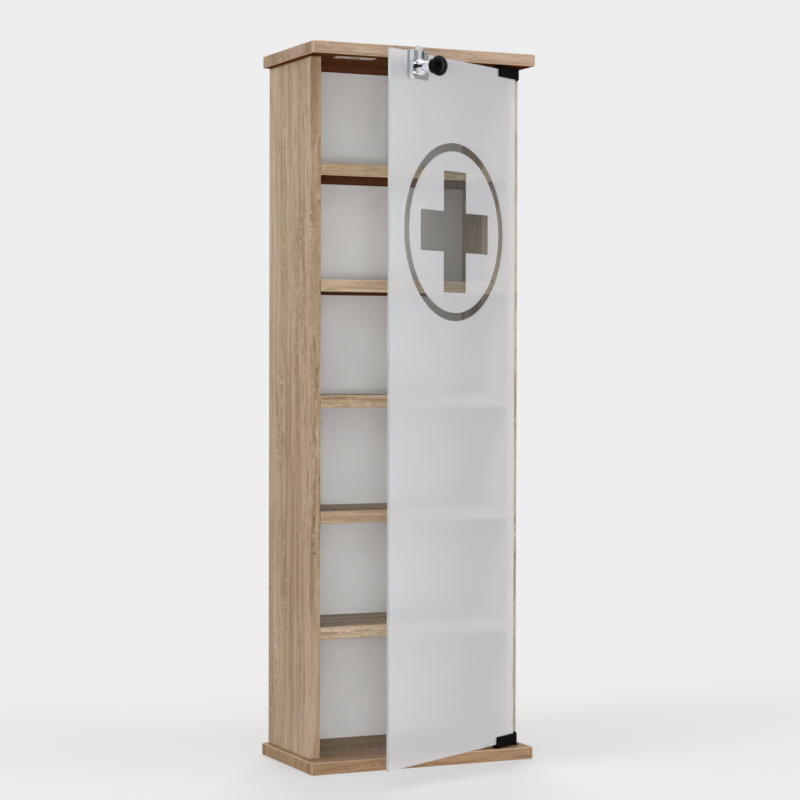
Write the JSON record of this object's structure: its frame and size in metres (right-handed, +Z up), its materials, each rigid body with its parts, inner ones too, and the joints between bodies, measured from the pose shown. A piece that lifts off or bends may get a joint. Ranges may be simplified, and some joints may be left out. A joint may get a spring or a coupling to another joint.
{
  "type": "glass door medicine cabinet",
  "caption": "Tall narrow oak-decor medicine cabinet with open shelves behind a frosted glass door that swings on corner pivots and latches with a turning knob.",
  "frame": {"origin": "centre of the base board's underside, on the floor", "axes": "+Z up, +X to the cabinet's right seen from the front, +Y towards its back; the door is stored open as in the picture"},
  "size_m": [0.32, 0.3095, 0.94],
  "materials": {
    "oak_decor": "matt rough-sawn light oak decor on particle board",
    "white_board": "matt white hardboard",
    "frosted_glass": "satin frosted, with a clear ring and cross",
    "black_plastic": "satin black moulded plastic",
    "chrome": "polished chrome plate",
    "steel": "plain turned steel",
    "zinc": "bright zinc plate",
    "beech": "raw grooved beech",
    "pad_rubber": "matt black rubber"
  },
  "bodies": {
    "cabinet": {"base_board": "oak_decor", "top_board": "oak_decor", "left_side_panel": "oak_decor", "right_side_panel": "oak_decor", "back_panel": "white_board", "shelf_1": "oak_decor", "shelf_2": "oak_decor", "shelf_3": "oak_decor", "shelf_4": "oak_decor", "shelf_5": "oak_decor", "shelf_pin_1_left_front": "steel", "shelf_pin_1_left_back": "steel", "shelf_pin_1_right_front": "steel", "shelf_pin_1_right_back": "steel", "shelf_pin_2_left_front": "steel", "shelf_pin_2_left_back": "steel", "shelf_pin_2_right_front": "steel", "shelf_pin_2_right_back": "steel", "shelf_pin_3_left_front": "steel", "shelf_pin_3_left_back": "steel", "shelf_pin_3_right_front": "steel", "shelf_pin_3_right_back": "steel", "shelf_pin_4_left_front": "steel", "shelf_pin_4_left_back": "steel", "shelf_pin_4_right_front": "steel", "shelf_pin_4_right_back": "steel", "shelf_pin_5_left_front": "steel", "shelf_pin_5_left_back": "steel", "shelf_pin_5_right_front": "steel", "shelf_pin_5_right_back": "steel", "cam_lock_left_base": "zinc", "cam_lock_right_base": "zinc", "cam_lock_left_top": "zinc", "cam_lock_right_top": "zinc", "cam_bolt_left_base": "steel", "cam_bolt_right_base": "steel", "cam_bolt_left_top": "steel", "cam_bolt_right_top": "steel", "dowel_left_base": "beech", "dowel_right_base": "beech", "dowel_left_top": "beech", "dowel_right_top": "beech", "lower_hinge_bush": "black_plastic", "upper_hinge_bush": "black_plastic", "strike_plate": "zinc", "strike_screw_1": "steel", "strike_screw_2": "steel"},
    "door": {"door_glass": "frosted_glass", "lower_hinge_cap": "black_plastic", "upper_hinge_cap": "black_plastic", "lower_hinge_pin": "steel", "upper_hinge_pin": "steel", "latch_body": "chrome", "latch_barrel": "chrome", "latch_clamp_pad": "pad_rubber", "latch_clamp_screw": "steel"},
    "knob": {"knob": "black_plastic", "knob_spindle": "steel"},
    "bolt": {"latch_bolt": "chrome"}
  },
  "joints": [
    {"name": "door_hinge", "type": "hinge", "parent": "cabinet", "child": "door", "pos_m": [0.146, -0.06, 0], "axis": [0, 0, 1], "range_deg": [-30.4, 79.6]},
    {"name": "knob_turn", "type": "hinge", "parent": "door", "child": "knob", "pos_m": [-0.05945, -0.18054, 0.899], "axis": [0.506, -0.8625, 0], "range_deg": [0, 90]},
    {"name": "bolt_slide", "type": "slide", "parent": "door", "child": "bolt", "axis": [0, 0, 1], "range_m": [-0.00509, 0]}
  ],
  "couplings": [
    {"joint": "knob_turn", "follows": "bolt_slide", "rad_per_m": -308.6}
  ]
}
